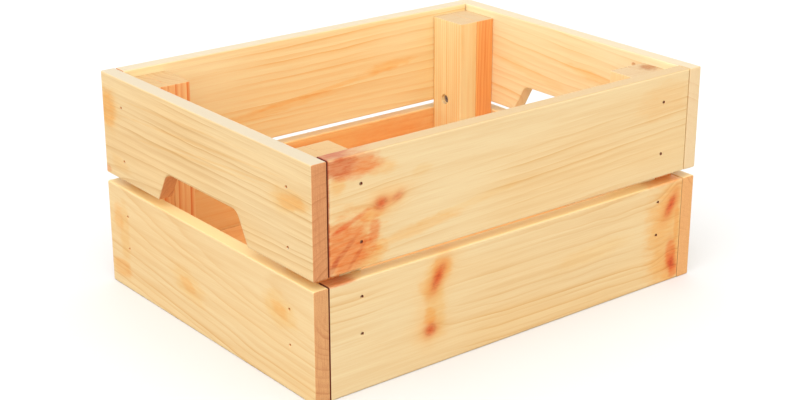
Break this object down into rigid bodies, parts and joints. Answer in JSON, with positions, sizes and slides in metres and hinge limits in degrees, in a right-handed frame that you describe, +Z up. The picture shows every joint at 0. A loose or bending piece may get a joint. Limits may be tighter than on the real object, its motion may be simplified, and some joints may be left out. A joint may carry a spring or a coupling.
{
  "type": "apple crate",
  "caption": "Open-topped wooden crate with slatted walls, a hand-hold in each end, doubled corner posts and a slatted floor on bearers.",
  "frame": {"origin": "centre of the footprint, on the surface the crate stands on", "axes": "+X along the crate's length, +Y towards its back wall, +Z up; the two ends with hand-holds face -X and +X"},
  "size_m": [0.48, 0.36, 0.226],
  "materials": {
    "pine_long_board": "planed bare pine with fine lengthwise grain and red-brown knots",
    "pine_end_board": "planed bare pine, paler, with open cathedral grain",
    "pine_batten": "sawn and lightly planed pine batten with straight grain",
    "pine_floor": "planed bare pine",
    "nail_steel": "dull bright-wire nail",
    "screw_steel": "zinc-plated screw"
  },
  "bodies": {
    "root": {"front_board_upper": "pine_long_board", "front_board_lower": "pine_long_board", "back_board_upper": "pine_long_board", "back_board_lower": "pine_long_board", "left_handle_board": "pine_end_board", "left_board_lower": "pine_end_board", "right_handle_board": "pine_end_board", "right_board_lower": "pine_end_board", "inner_batten_front_left": "pine_batten", "inner_batten_front_right": "pine_batten", "inner_batten_back_left": "pine_batten", "inner_batten_back_right": "pine_batten", "outer_batten_front_left": "pine_batten", "outer_batten_front_right": "pine_batten", "outer_batten_back_left": "pine_batten", "outer_batten_back_right": "pine_batten", "floor_slat_1": "pine_floor", "floor_slat_2": "pine_floor", "floor_slat_3": "pine_floor", "floor_slat_4": "pine_floor", "floor_slat_5": "pine_floor", "bearer_left": "pine_floor", "bearer_middle": "pine_floor", "bearer_right": "pine_floor", "front_nails": "nail_steel", "back_nails": "nail_steel", "left_nails": "nail_steel", "right_nails": "nail_steel", "floor_nails": "nail_steel", "post_screws": "screw_steel", "floor_screws": "screw_steel"}
  },
  "joints": []
}
